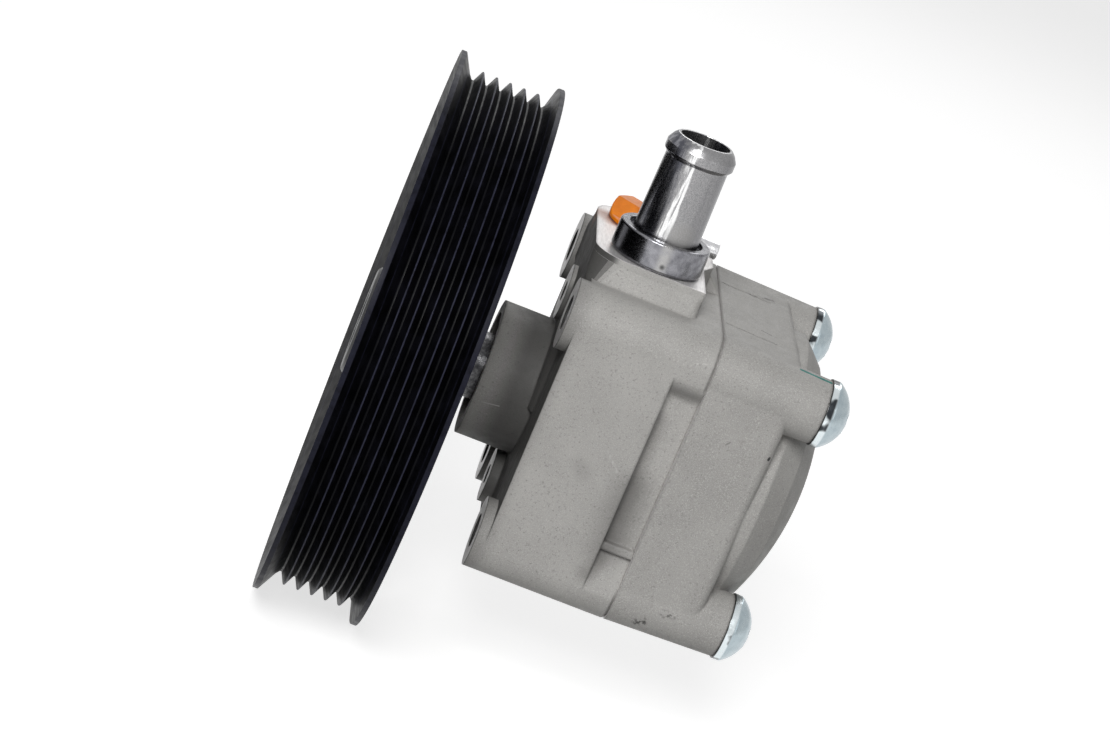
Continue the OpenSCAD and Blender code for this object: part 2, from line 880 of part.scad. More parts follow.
// One wall-to-wall profile of the cover, from the split to its rounded shoulder
module cover_profile(front_half, rear_half) {
    steps = 8;
    bend = [
        for (i = [0 : steps])
            let (a = 90 * i / steps)
                [shoulder_x - shoulder_r * (1 - sin(a)), rear_half - shoulder_r * (1 - cos(a))]
    ];
    other_side = [for (i = [steps : -1 : 0]) [bend[i][0], -bend[i][1]]];
    polygon(concat([[split_x, front_half]], bend, other_side, [[split_x, -front_half]]));
}

// The cover's square part, which narrows towards the rear, and its four bolt barrels
module cover_block() {
    at_corners()
        translate([split_x, 0, 0])
            rotate([0, 90, 0])
                cylinder(r1 = barrel_r, r2 = barrel_r - cover_draft, h = seat_len);
    translate([0, boss_y, 0])
        rotate([90, 0, 0])
            linear_extrude(2 * boss_y)
                cover_profile(cover_z, shoulder_z);
    translate([0, 0, -boss_z])
        linear_extrude(2 * boss_z)
            cover_profile(cover_y, shoulder_y);
}

// The dome, a shallow ball's cap that meets the cover's square part
module dome() {
    ball_x = shoulder_x + dome_h - dome_ball_r;
    rim_x = ball_x + sqrt(pow(dome_ball_r, 2) - pow(dome_r, 2));
    intersection() {
        translate([ball_x, 0, 0])
            rotate([0, 90, 0])
                sphere(r = dome_ball_r);
        union() {
            x_rod(dome_r, shoulder_x - shoulder_r - cut, rim_x - dome_edge);
            translate([rim_x - dome_edge, 0, 0])
                rotate([0, 90, 0])
                    cylinder(r1 = dome_r, r2 = dome_r - 2 * dome_h, h = 2 * dome_h);
        }
    }
}

module rear_cover() {
    bush_end_gap = 0.2;
    bolt_room = 0.4;
    line_inset = 0.6;
    top_skin = cover_z - cover_draft / 2 - line_depth;
    color([0.63, 0.62, 0.6])
        difference() {
            union() {
                cover_block();
                dome();
            }
            // Recess for the rear plate, bush bore and journal room
            x_rod(set_r + plate_bore_fit, split_x - cut, cover_recess_x);
            x_rod(rear_bush_r + seat_fit, split_x, rear_bush_x + rear_bush_len + bush_end_gap);
            x_rod(journal_r + plate_bore_fit, split_x, journal_end_x + journal_room);
            at_corners()
                x_rod(bolt_r + bolt_room, split_x - cut, seat_x + cut);
            // Grooves for the sealing rings
            mirror([1, 0, 0])
                x_ring_groove(cover_ring_r, -split_x);
            mirror([1, 0, 0])
                x_ring_groove(plate_ring_r, -cover_recess_x);
            // Bore of the flow valve, with a wider end for its plug
            translate([valve_at_x, 0, -valve_z]) {
                y_rod(valve_r, valve_end_y, valve_open_y + cut);
                y_rod(valve_plug_r, valve_open_y - valve_plug_len, valve_open_y + cut);
            }
            // Drilling from the pumping set to the valve
            translate([0, 0, -valve_z])
                x_rod(gallery_r, split_x, valve_at_x);
            // Two thin lines in the top
            for (side = [-1, 1])
                translate([split_x + line_inset, side * line_y - line_w / 2, top_skin])
                    cube([line_len, line_w, line_depth + cut]);
        }
}

module cover_o_ring() {
    color([0.1, 0.1, 0.1])
        x_ring(cover_ring_r, split_x + ring_t + ring_room / 2);
}

module rear_bush() {
    color([0.6, 0.5, 0.35])
        difference() {
            x_rod(rear_bush_r, rear_bush_x, rear_bush_x + rear_bush_len);
            x_rod(journal_r + bush_fit, split_x, journal_end_x);
        }
}

// The six-lobe drive cut into a bolt's head
module six_lobe(h) {
    core_r = 2.7;
    lobe_r = 0.8;
    cylinder(r = core_r, h = h);
    for (a = [0 : 60 : 300])
        rotate(a)
            translate([core_r, 0, 0])
                cylinder(r = lobe_r, h = h, $fn = 24);
}

module cover_bolt() {
    dome_up = bolt_head_h - bolt_rim_h;
    head_ball_r = (pow(bolt_head_r, 2) + pow(dome_up, 2)) / (2 * dome_up);
    difference() {
        union() {
            x_rod(bolt_r, seat_x - bolt_len, seat_x + cut);
            intersection() {
                x_rod(bolt_head_r, seat_x, seat_x + bolt_head_h + cut);
                translate([seat_x + bolt_head_h - head_ball_r, 0, 0])
                    rotate([0, 90, 0])
                        sphere(r = head_ball_r);
            }
        }
        translate([seat_x + bolt_head_h - drive_depth, 0, 0])
            rotate([0, 90, 0])
                six_lobe(drive_depth + cut);
    }
}

module cover_bolts() {
    color([0.66, 0.71, 0.71])
        at_corners()
            cover_bolt();
}

/* Flow valve */

module flow_valve_spool() {
    land = 5;
    waist_in = 1.6;
    waist_r = valve_r - waist_in;
    r = valve_r - spool_fit;
    color([0.6, 0.6, 0.62])
        translate([valve_at_x, 0, -valve_z])
            difference() {
                union() {
                    y_rod(waist_r, spool_y, spool_y + spool_len);
                    y_rod(r, spool_y, spool_y + 2 * land);
                    y_rod(r, spool_y + spool_len - land, spool_y + spool_len);
                }
                y_rod(spring_r - 2 * spring_wire_r, spool_y - cut, spool_y + land);
            }
}

// A round wire wound into a coil about Y, from y = 0 to y = len
module coil(r, wire_r, turns, len) {
    sides = 8;
    steps = 20 * turns;
    rise = len - 2 * wire_r;
    function turn(i) = 360 * turns * i / steps;
    ring_points = [
        for (i = [0 : steps])
            for (k = [0 : sides - 1])
                let (out = r + wire_r * cos(k * 360 / sides))
                    [
                        out * cos(turn(i)),
                        wire_r + rise * i / steps + wire_r * sin(k * 360 / sides),
                        out * sin(turn(i))
                    ]
    ];
    skin = [
        for (i = [0 : steps - 1])
            for (k = [0 : sides - 1])
                let (a = i * sides + k, b = i * sides + (k + 1) % sides)
                    [a, b, b + sides, a + sides]
    ];
    first_end = [for (k = [sides - 1 : -1 : 0]) k];
    last_end = [for (k = [0 : sides - 1]) steps * sides + k];
    polyhedron(ring_points, concat([first_end], skin, [last_end]));
}

module flow_valve_spring() {
    end_gap = 0.1;
    color([0.5, 0.5, 0.52])
        translate([valve_at_x, valve_end_y + end_gap, -valve_z])
            coil(spring_r, spring_wire_r, spring_turns, spring_len - 2 * end_gap);
}

module valve_plug() {
    hex_r = 4.2;
    hex_depth = 3.5;
    plug_end_gap = 0.1;
    stem = valve_plug_r - 2 * ring_t - ring_room;
    half_groove = ring_t + ring_room;
    plug_in_y = valve_open_y - valve_plug_len + plug_end_gap;
    color([0.55, 0.56, 0.56])
        translate([valve_at_x, 0, -valve_z])
            difference() {
                y_rod(valve_plug_r - seat_fit, plug_in_y, valve_open_y - plug_end_gap);
                difference() {
                    y_rod(valve_plug_r + cut, plug_ring_y - half_groove, plug_ring_y + half_groove);
                    y_rod(stem, plug_ring_y - 2 * half_groove, plug_ring_y + 2 * half_groove);
                }
                translate([0, valve_open_y + cut, 0])
                    rotate([90, 0, 0])
                        cylinder(r = hex_r, h = hex_depth + cut, $fn = 6);
            }
}
module valve_plug_o_ring() {
    color([0.1, 0.1, 0.1])
        translate([valve_at_x, plug_ring_y, -valve_z])
            rotate([90, 0, 0])
                rotate_extrude()
                    translate([valve_plug_r - ring_t - seat_fit, 0])
                        circle(r = ring_t, $fn = 24);
}

/* Ports */

module suction_pipe() {
    bore_r = pipe_r - pipe_wall;
    lip = 0.9;
    ramp = 1;
    belt_share = 0.55;
    bead_low_z = pipe_top_z - bead_len;
    foot_z = collar_top_z - collar_groove + seat_fit;
    color([0.6, 0.6, 0.62])
        translate([port_x, suction_y, 0])
            rotate_extrude()
                polygon([
                    [bore_r, pipe_end_z],
                    [pipe_r, pipe_end_z],
                    [pipe_r, foot_z],
                    [pipe_foot_r, foot_z],
                    [pipe_foot_r, collar_top_z],
                    [pipe_r, bead_low_z],
                    [bead_r, bead_low_z + ramp],
                    [bead_r, bead_low_z + belt_share * bead_len],
                    [bead_r - lip, pipe_top_z - lip],
                    [bead_r - 2 * lip, pipe_top_z],
                    [bore_r, pipe_top_z]
                ]);
}

module pipe_collar() {
    edge = 0.8;
    groove_w = 1.1;
    groove_r = pipe_foot_r + groove_w;
    ring_z = pad_z - neck_len / 2;
    ring_low_z = ring_z - ring_t - ring_room;
    ring_high_z = ring_z + ring_t + ring_room;
    seat_z = pad_z + port_fit;
    color([0.62, 0.62, 0.64])
        difference() {
            translate([port_x, suction_y, 0])
                rotate_extrude()
                    polygon([
                        [collar_bore_r, pipe_end_z],
                        [neck_r, pipe_end_z],
                        [neck_r, ring_low_z],
                        [neck_r - 2 * ring_t, ring_low_z],
                        [neck_r - 2 * ring_t, ring_high_z],
                        [neck_r, ring_high_z],
                        [neck_r, seat_z],
                        [collar_r - edge, seat_z],
                        [collar_r, pad_z + edge],
                        [collar_r, collar_top_z - edge / 2],
                        [collar_r - edge / 2, collar_top_z],
                        [groove_r, collar_top_z],
                        [groove_r, collar_top_z - collar_groove],
                        [collar_bore_r, collar_top_z - collar_groove]
                    ]);
            translate([0, pin_y, pin_z])
                x_rod(pin_r + port_fit, pin_x - pin_end_gap, ear_x);
        }
}

module pipe_o_ring() {
    color([0.1, 0.1, 0.1])
        translate([port_x, suction_y, pad_z - neck_len / 2])
            rotate_extrude()
                translate([suction_port_r - ring_t - ring_proud, 0])
                    circle(r = ring_t, $fn = 24);
}

module pipe_lock_pin() {
    edge = 0.4;
    color([0.72, 0.72, 0.73])
        translate([0, pin_y, pin_z])
            x_turned()
                polygon([
                    [0, pin_x],
                    [pin_r - edge, pin_x],
                    [pin_r, pin_x + edge],
                    [pin_r, pin_end_x - edge],
                    [pin_r - edge, pin_end_x],
                    [0, pin_end_x]
                ]);
}

module pressure_port_plug() {
    stem_gap = 1.5;
    stem_wall = 2;
    brim_t = 1;
    seat_z = pad_z + port_fit;
    cap_z = seat_z + plug_h;
    stem_r = pressure_port_r - plug_fit;
    stem_z = pad_z - pressure_port_depth + stem_gap;
    // The cap's two sloping facets, which leave a bar to grip across the middle
    bar_half = 3;
    bar_angle = -37;
    slope = 6;
    color([0.9, 0.5, 0.08])
        translate([port_x, pressure_y, 0])
            difference() {
                union() {
                    z_rod(plug_r, seat_z, cap_z);
                    z_rod(stem_r, stem_z, seat_z + cut);
                }
                z_rod(stem_r - stem_wall, stem_z - cut, seat_z);
                for (turn = [0, 180])
                    rotate([0, 0, bar_angle + turn])
                        rotate([90, 0, 0])
                            rotate([0, 90, 0])
                                translate([0, 0, -2 * plug_r])
                                    linear_extrude(4 * plug_r)
                                        polygon([
                                            [bar_half, cap_z + cut],
                                            [bar_half, cap_z],
                                            [bar_half + slope, seat_z + brim_t],
                                            [2 * plug_r, seat_z + brim_t],
                                            [2 * plug_r, cap_z + cut]
                                        ]);
            }
}

front_housing();
shaft_seal();
front_bush();
drive_shaft();
pulley_hub();
pulley();
front_plate_o_ring();
front_plate();
cam_ring();
rotor();
rotor_snap_ring();
for (i = [1 : vane_count])
    vane(i);
dowel_pins();
rear_plate();
rear_plate_o_ring();
cover_o_ring();
rear_cover();
rear_bush();
cover_bolts();
flow_valve_spool();
flow_valve_spring();
valve_plug();
valve_plug_o_ring();
suction_pipe();
pipe_collar();
pipe_o_ring();
pipe_lock_pin();
pressure_port_plug();
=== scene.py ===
"""Looks of the power steering pump, in metres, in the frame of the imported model."""

import json
import math

import bpy
from mathutils import Matrix, Vector


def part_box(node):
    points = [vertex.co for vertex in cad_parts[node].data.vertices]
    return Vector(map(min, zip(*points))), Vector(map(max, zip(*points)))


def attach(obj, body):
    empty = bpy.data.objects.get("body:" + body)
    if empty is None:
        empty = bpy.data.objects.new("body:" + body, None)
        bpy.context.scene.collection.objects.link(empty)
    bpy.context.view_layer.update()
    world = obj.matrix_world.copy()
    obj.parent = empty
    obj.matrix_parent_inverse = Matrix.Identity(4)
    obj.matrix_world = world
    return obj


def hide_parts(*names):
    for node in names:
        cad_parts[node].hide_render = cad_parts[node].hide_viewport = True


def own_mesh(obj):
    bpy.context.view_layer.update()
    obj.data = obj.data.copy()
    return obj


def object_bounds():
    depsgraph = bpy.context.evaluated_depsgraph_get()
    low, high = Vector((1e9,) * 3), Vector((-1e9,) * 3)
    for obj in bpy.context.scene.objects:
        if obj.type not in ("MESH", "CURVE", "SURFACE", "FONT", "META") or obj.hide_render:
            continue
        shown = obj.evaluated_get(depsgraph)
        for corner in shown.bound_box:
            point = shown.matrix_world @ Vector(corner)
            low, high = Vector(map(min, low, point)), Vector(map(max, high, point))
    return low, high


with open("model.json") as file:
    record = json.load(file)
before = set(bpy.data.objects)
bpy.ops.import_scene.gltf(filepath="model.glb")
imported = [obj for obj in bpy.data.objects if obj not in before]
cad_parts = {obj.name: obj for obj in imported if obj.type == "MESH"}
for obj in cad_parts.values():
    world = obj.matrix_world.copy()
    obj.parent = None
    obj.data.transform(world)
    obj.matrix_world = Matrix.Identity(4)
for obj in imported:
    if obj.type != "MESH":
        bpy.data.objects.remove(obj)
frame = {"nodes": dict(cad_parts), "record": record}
CAD_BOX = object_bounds()
NODES = frame["nodes"]
MM = 0.001

# Sizes that the finishes refer to, as in the part's source
SEAT_LEN = 27.6 * MM  # from the split to the bolt seats
NOSE_FRONT = -11.8 * MM  # the nose's front face
PAD_RISE = 8.0 * MM  # the port pad's top over the collar's lowest point
RIDGE_R = 66.8 * MM  # the pulley's ridges
RIM_R = 69.9 * MM  # the pulley's flanges

# Camera, fitted to the photograph
CAMERA_AZIMUTH = math.radians(-5.409)
CAMERA_ELEVATION = math.radians(16.948)
CAMERA_ROLL = math.radians(22.929)
CAMERA_DISTANCE = 695.86 * MM
CAMERA_TARGET = Vector((5.52, 0.0, 5.96)) * MM
CAMERA_LENS = 92.29
SENSOR_WIDTH = 36.0
CLIP_START = 0.01

# Lamps: name, place, size in metres, power in watts
LAMPS = [
    ("key", (-0.3, -1.06, 0.78), 0.5, 15),
    ("fill", (0.9, -0.9, 0.5), 0.8, 1.2),
    ("back", (0.2, 1.0, 0.9), 0.7, 4),
]
LAMP_AIM = Vector((0.01, 0, 0))
BACKDROP_STRENGTH = 1.0
SKY_STRENGTH = 0.06

# Floor
FLOOR_HALF = 6.0
FLOOR_GAP = 0.2 * MM
FLOOR_GREY = 0.55
FLOOR_ROUGHNESS = 0.9
FLOOR_GLOW = 0.72


def make_camera():
    """The camera at the photograph's viewing angle, rolled about its own axis."""
    back = Vector((
        math.sin(CAMERA_AZIMUTH) * math.cos(CAMERA_ELEVATION),
        -math.cos(CAMERA_AZIMUTH) * math.cos(CAMERA_ELEVATION),
        math.sin(CAMERA_ELEVATION),
    ))
    right = (-back).cross(Vector((0, 0, 1))).normalized()
    up = back.cross(right)
    rolled_right = right * math.cos(CAMERA_ROLL) + up * math.sin(CAMERA_ROLL)
    rolled_up = up * math.cos(CAMERA_ROLL) - right * math.sin(CAMERA_ROLL)
    data = bpy.data.cameras.new("camera")
    data.lens = CAMERA_LENS
    data.sensor_width = SENSOR_WIDTH
    data.clip_start = CLIP_START
    camera = bpy.data.objects.new("camera", data)
    bpy.context.collection.objects.link(camera)
    turn = Matrix((rolled_right, rolled_up, back)).transposed().to_4x4()
    camera.matrix_world = Matrix.Translation(CAMERA_TARGET + back * CAMERA_DISTANCE) @ turn
    bpy.context.scene.camera = camera


# Light and surroundings


def area_light(name, place, size, power):
    """A square soft light that looks at the pump's middle."""
    data = bpy.data.lights.new(name, "AREA")
    data.shape = "SQUARE"
    data.size = size
    data.energy = power
    lamp = bpy.data.objects.new(name, data)
    bpy.context.collection.objects.link(lamp)
    lamp.location = place
    lamp.rotation_euler = (LAMP_AIM - Vector(place)).to_track_quat("-Z", "Y").to_euler()


def backdrop_share(nodes, links):
    """1 for the rays that see the background: from the camera, by gloss and through glass."""
    path = nodes.new("ShaderNodeLightPath")
    both = nodes.new("ShaderNodeMath")
    both.operation = "MAXIMUM"
    links.new(path.outputs["Is Camera Ray"], both.inputs[0])
    links.new(path.outputs["Is Glossy Ray"], both.inputs[1])
    every = nodes.new("ShaderNodeMath")
    every.operation = "MAXIMUM"
    links.new(both.outputs[0], every.inputs[0])
    links.new(path.outputs["Is Transmission Ray"], every.inputs[1])
    return every.outputs[0]


def make_world():
    """White where the camera and gloss see it, and only a weak light on the pump itself."""
    world = bpy.data.worlds.new("studio")
    bpy.context.scene.world = world
    world.use_nodes = True
    nodes, links = world.node_tree.nodes, world.node_tree.links
    nodes.clear()
    seen = nodes.new("ShaderNodeBackground")
    seen.inputs["Strength"].default_value = BACKDROP_STRENGTH
    fill = nodes.new("ShaderNodeBackground")
    fill.inputs["Strength"].default_value = SKY_STRENGTH
    mix = nodes.new("ShaderNodeMixShader")
    links.new(backdrop_share(nodes, links), mix.inputs[0])
    links.new(fill.outputs[0], mix.inputs[1])
    links.new(seen.outputs[0], mix.inputs[2])
    out = nodes.new("ShaderNodeOutputWorld")
    links.new(mix.outputs[0], out.inputs["Surface"])


def make_floor():
    """A pale floor under the pulley's rim, which glows only where the backdrop is seen."""
    low = CAD_BOX[0][2] - FLOOR_GAP
    corners = [(x * FLOOR_HALF, y * FLOOR_HALF, low) for x, y in ((-1, -1), (1, -1), (1, 1), (-1, 1))]
    mesh = bpy.data.meshes.new("floor")
    mesh.from_pydata(corners, [], [(0, 1, 2, 3)])
    floor = bpy.data.objects.new("floor", mesh)
    bpy.context.collection.objects.link(floor)
    material = bpy.data.materials.new("floor")
    material.use_nodes = True
    nodes, links = material.node_tree.nodes, material.node_tree.links
    shader = nodes["Principled BSDF"]
    shader.inputs["Base Color"].default_value = (FLOOR_GREY, FLOOR_GREY, FLOOR_GREY, 1)
    shader.inputs["Roughness"].default_value = FLOOR_ROUGHNESS
    glow = nodes.new("ShaderNodeEmission")
    glow.inputs["Strength"].default_value = FLOOR_GLOW
    dark = nodes.new("ShaderNodeEmission")
    dark.inputs["Strength"].default_value = 0.0
    mix = nodes.new("ShaderNodeMixShader")
    links.new(backdrop_share(nodes, links), mix.inputs[0])
    links.new(dark.outputs[0], mix.inputs[1])
    links.new(glow.outputs[0], mix.inputs[2])
    both = nodes.new("ShaderNodeAddShader")
    links.new(shader.outputs[0], both.inputs[0])
    links.new(mix.outputs[0], both.inputs[1])
    links.new(both.outputs[0], nodes["Material Output"].inputs["Surface"])
    mesh.materials.append(material)


# Materials


class Shade:
    """A Principled material and short calls for the nodes that feed it.

    metallic and roughness are the plain values under what the nodes feed, and specular
    the level of its gloss.
    """

    def __init__(self, name, metallic, roughness, specular=None):
        self.material = bpy.data.materials.new(name)
        self.material.use_nodes = True
        self.nodes = self.material.node_tree.nodes
        self.links = self.material.node_tree.links
        self.shader = self.nodes["Principled BSDF"]
        self.shader.inputs["Metallic"].default_value = metallic
        self.shader.inputs["Roughness"].default_value = roughness
        if specular is not None:
            self.shader.inputs["Specular IOR Level"].default_value = specular
        coordinates = self.nodes.new("ShaderNodeTexCoord")
        self.place = coordinates.outputs["Object"]
        self.normal = coordinates.outputs["Normal"]

    def _feed(self, socket, value):
        if isinstance(value, bpy.types.NodeSocket):
            self.links.new(value, socket)
        else:
            socket.default_value = value

    def noise(self, size, detail=3.0, stretch=(1, 1, 1), rough=0.55):
        """Noise whose features are about size metres across, from 0 to 1."""
        mapping = self.nodes.new("ShaderNodeMapping")
        mapping.inputs["Scale"].default_value = stretch
        self.links.new(self.place, mapping.inputs["Vector"])
        node = self.nodes.new("ShaderNodeTexNoise")
        node.inputs["Scale"].default_value = 1 / size
        node.inputs["Detail"].default_value = detail
        node.inputs["Roughness"].default_value = rough
        self.links.new(mapping.outputs[0], node.inputs["Vector"])
        return node.outputs["Fac"]

    def cells(self, size):
        """Distance to the nearest of many scattered points, about size metres apart."""
        node = self.nodes.new("ShaderNodeTexVoronoi")
        node.inputs["Scale"].default_value = 1 / size
        self.links.new(self.place, node.inputs["Vector"])
        return node.outputs["Distance"]

    def math(self, operation, a, b=0.0, c=0.0):
        node = self.nodes.new("ShaderNodeMath")
        node.operation = operation
        self._feed(node.inputs[0], a)
        self._feed(node.inputs[1], b)
        self._feed(node.inputs[2], c)
        return node.outputs[0]

    def both(self, a, b):
        """a times b, which is 1 where both shares are."""
        return self.math("MULTIPLY", a, b)

    def either(self, a, b):
        """The larger of two shares."""
        return self.math("MAXIMUM", a, b)

    def ramp(self, value, start, end, low=0.0, high=1.0):
        """value between start and end becomes low to high, with smooth ends."""
        node = self.nodes.new("ShaderNodeMapRange")
        node.interpolation_type = "SMOOTHSTEP"
        self._feed(node.inputs["Value"], value)
        node.inputs["From Min"].default_value = start
        node.inputs["From Max"].default_value = end
        node.inputs["To Min"].default_value = low
        node.inputs["To Max"].default_value = high
        return node.outputs["Result"]

    def mix(self, share, a, b):
        """Colour a where share is 0 and b where it is 1."""
        node = self.nodes.new("ShaderNodeMix")
        node.data_type = "RGBA"
        self._feed(node.inputs["Factor"], share)
        self._feed(node.inputs["A"], a if isinstance(a, bpy.types.NodeSocket) else (*a, 1))
        self._feed(node.inputs["B"], b if isinstance(b, bpy.types.NodeSocket) else (*b, 1))
        return node.outputs["Result"]

    def part(self, vector, axis):
        """The X, Y or Z part of a vector."""
        node = self.nodes.new("ShaderNodeSeparateXYZ")
        self.links.new(vector, node.inputs[0])
        return node.outputs[axis]

    def near(self, point, inner, outer):
        """1 within inner metres of a point, 0 beyond outer."""
        apart = self.vector("DISTANCE", self.place, point).outputs["Value"]
        return self.ramp(apart, inner, outer, 1.0, 0.0)

    def vector(self, operation, a, b):
        """The vector math node of a and b."""
        node = self.nodes.new("ShaderNodeVectorMath")
        node.operation = operation
        self._feed(node.inputs[0], a)
        self._feed(node.inputs[1], b)
        return node

    def stroke(self, start, end, inner, outer):
        """1 within inner metres of the line from start to end, 0 beyond outer."""
        along = Vector(end) - Vector(start)
        off = self.vector("SUBTRACT", self.place, start).outputs[0]
        share = self.vector("DOT_PRODUCT", off, along / along.length_squared).outputs["Value"]
        clamped = self.math("MINIMUM", self.either(share, 0.0), 1.0)
        step = self.nodes.new("ShaderNodeVectorMath")
        step.operation = "SCALE"
        step.inputs[0].default_value = along
        self.links.new(clamped, step.inputs["Scale"])
        apart = self.vector("DISTANCE", off, step.outputs[0]).outputs["Value"]
        return self.ramp(apart, inner, outer, 1.0, 0.0)

    def off_axis(self):
        """Distance from the shaft's axis."""
        flat = self.vector("MULTIPLY", self.place, (0.0, 1.0, 1.0)).outputs[0]
        return self.vector("LENGTH", flat, (0.0, 0.0, 0.0)).outputs["Value"]

    def bump(self, height, strength, distance, after=None):
        """The normal that height gives, on top of the normal after."""
        node = self.nodes.new("ShaderNodeBump")
        node.inputs["Strength"].default_value = strength
        node.inputs["Distance"].default_value = distance
        self._feed(node.inputs["Height"], height)
        if after is not None:
            self.links.new(after, node.inputs["Normal"])
        return node.outputs["Normal"]

    def finish(self, colour, roughness, normal):
        self.links.new(colour, self.shader.inputs["Base Color"])
        self.links.new(roughness, self.shader.inputs["Roughness"])
        self.links.new(normal, self.shader.inputs["Normal"])
        return self.material


# Colours of the castings
CAST_LIGHT = Vector((0.395, 0.386, 0.37))
CAST_DARK = Vector((0.345, 0.337, 0.323))
CAST_SPECK = (0.52, 0.51, 0.49)
CAST_GRAIN = (0.23, 0.225, 0.215)
CAST_SMUDGE = (0.26, 0.25, 0.235)
# colour of the painted shade on the housing's front
CAST_SHADE = (0.05, 0.049, 0.047)
MILLED_LIGHT = (0.73, 0.715, 0.71)
MILLED_DARK = (0.6, 0.585, 0.58)
CAST_EDGE_R = 1.1 * MM


def painted_front_shade(s):
    """Share of painted shade on the housing's front wall, round its nose and along its front edge: darker where a
    wall faces forward, towards the nose's base and near the front edge.
    """
    along = s.part(s.place, "X")
    behind = s.ramp(along, -0.6 * MM, -0.2 * MM)
    wall = s.both(s.ramp(s.part(s.normal, "X"), -0.5, -0.15, 0.92, 0.0), s.ramp(along, 6 * MM, 10 * MM, 1.0, 0.0))
    core = s.both(s.ramp(s.off_axis(), 28 * MM, 33 * MM, 0.88, 0.0), s.ramp(along, 4 * MM, 6 * MM, 1.0, 0.0))
    nose = s.both(s.ramp(along, NOSE_FRONT, -3 * MM, 0.0, 0.88), s.ramp(along, 0.0, 0.4 * MM, 1.0, 0.0))
    edge = s.both(s.ramp(along, 0.0, 6 * MM, 0.38, 0.0), s.ramp(along, -0.3 * MM, 0.1 * MM))
    return s.either(s.either(s.either(wall, s.both(core, behind)), nose), edge)


def machined_share(s, planes):
    """1 on the machined faces: planes holds the axis, place in metres and facing of each."""
    machined = 0.0
    for axis, place, facing in planes:
        off = s.math("ABSOLUTE", s.math("SUBTRACT", s.part(s.place, axis), place))
        on_plane = s.ramp(off, 0.02 * MM, 0.06 * MM, 1.0, 0.0)
        faces = s.ramp(s.both(s.part(s.normal, axis), facing), 0.95, 0.99)
        machined = s.either(machined, s.both(on_plane, faces))
    return machined


def cast_aluminium(name, planes, marks, tint=1.0, front_shade=False):
    """Sand-like cast aluminium, smoother and brighter on its machined planes.

    marks holds (colour, strength, torn, start, end, inner, outer) of each stroke: marks of paint,
    wear or dirt, and strokes of painted shade.
    """
    s = Shade(name, 0.0, 0.55, specular=0.3)
    grain = s.noise(0.5 * MM, 4.0)
    speck = s.noise(0.22 * MM, 2.0)
    patches = s.noise(18 * MM, 4.0)
    smudge = s.noise(5 * MM, 5.0)
    colour = s.mix(s.ramp(patches, 0.35, 0.7), CAST_LIGHT * tint, CAST_DARK * tint)
    colour = s.mix(s.ramp(speck, 0.5, 0.72, 0.0, 0.9), colour, CAST_SPECK)
    colour = s.mix(s.ramp(grain, 0.55, 0.75, 0.0, 0.9), colour, CAST_GRAIN)
    colour = s.mix(s.ramp(smudge, 0.66, 0.8, 0.0, 0.45), colour, CAST_SMUDGE)
    # painted shade on the housing's front wall, round the nose and along the front edge
    if front_shade:
        colour = s.mix(painted_front_shade(s), colour, CAST_SHADE)
    machined = machined_share(s, planes)
    mill = s.noise(0.35 * MM, 2.0, (1.0, 0.12, 1.0))
    colour = s.mix(machined, colour, s.mix(s.ramp(mill, 0.3, 0.7), MILLED_LIGHT, MILLED_DARK))
    tatters = s.ramp(s.noise(1.3 * MM, 4.0, (1, 1, 1), 0.6), 0.46, 0.6)
    for stroke_colour, strength, torn, start, end, inner, outer in marks:
        share = s.both(s.stroke(start, end, inner * MM, outer * MM), strength)
        colour = s.mix(s.both(share, tatters) if torn else share, colour, stroke_colour)
    s.links.new(s.both(machined, 0.5), s.shader.inputs["Metallic"])
    cast_rough = s.ramp(s.noise(2.5 * MM, 3.0), 0.3, 0.7, 0.52, 0.66)
    roughness = s.math("MULTIPLY_ADD", machined, -0.2, cast_rough)
    height = s.math("ADD", grain, s.both(speck, 0.5))
    height = s.both(height, s.math("MULTIPLY_ADD", machined, -0.85, 1.0))
    pits = s.ramp(s.cells(2.2 * MM), 0.04, 0.14, -0.6, 0.0)
    soft = s.nodes.new("ShaderNodeBevel")
    soft.samples = 6
    soft.inputs["Radius"].default_value = CAST_EDGE_R
    waves = s.bump(s.noise(7 * MM, 2.0), 0.3, 0.5 * MM, soft.outputs[0])
    normal = s.bump(s.math("ADD", height, pits), 0.5, 0.07 * MM, waves)
    return s.finish(colour, roughness, normal)


def black_paint():
    """Black dip-coated steel, with blue-grey lines on the ridges and the rims that are partly wear and partly
    painted highlight.
    """
    s = Shade("black_paint", 0.0, 0.4, specular=0.06)
    patches = s.noise(6 * MM, 4.0)
    colour = s.mix(s.ramp(patches, 0.3, 0.75), (0.0012, 0.0012, 0.0016), (0.004, 0.004, 0.006))
    dust = s.ramp(s.noise(0.6 * MM, 3.0), 0.68, 0.82, 0.0, 0.25)
    colour = s.mix(dust, colour, (0.03, 0.032, 0.04))
    out = s.off_axis()
    below = s.ramp(out, RIDGE_R - 0.2 * MM, RIDGE_R - 0.02 * MM)
    above = s.ramp(out, RIDGE_R + 0.1 * MM, RIDGE_R + 0.2 * MM, 1.0, 0.0)
    rims = s.ramp(out, RIM_R - 0.12 * MM, RIM_R - 0.02 * MM, 0.0, 0.5)
    # blue-grey lines on the ridge tips and rims: partly wear, partly painted highlight
    worn = s.both(s.either(s.both(below, above), rims), s.ramp(s.noise(2 * MM, 4.0), 0.25, 0.55, 0.35, 1.0))
    colour = s.mix(worn, colour, (0.024, 0.025, 0.042))
    roughness = s.ramp(s.noise(3 * MM, 3.0), 0.3, 0.7, 0.3, 0.44)
    normal = s.bump(s.noise(0.9 * MM, 3.0), 0.18, 0.05 * MM)
    return s.finish(colour, roughness, normal)


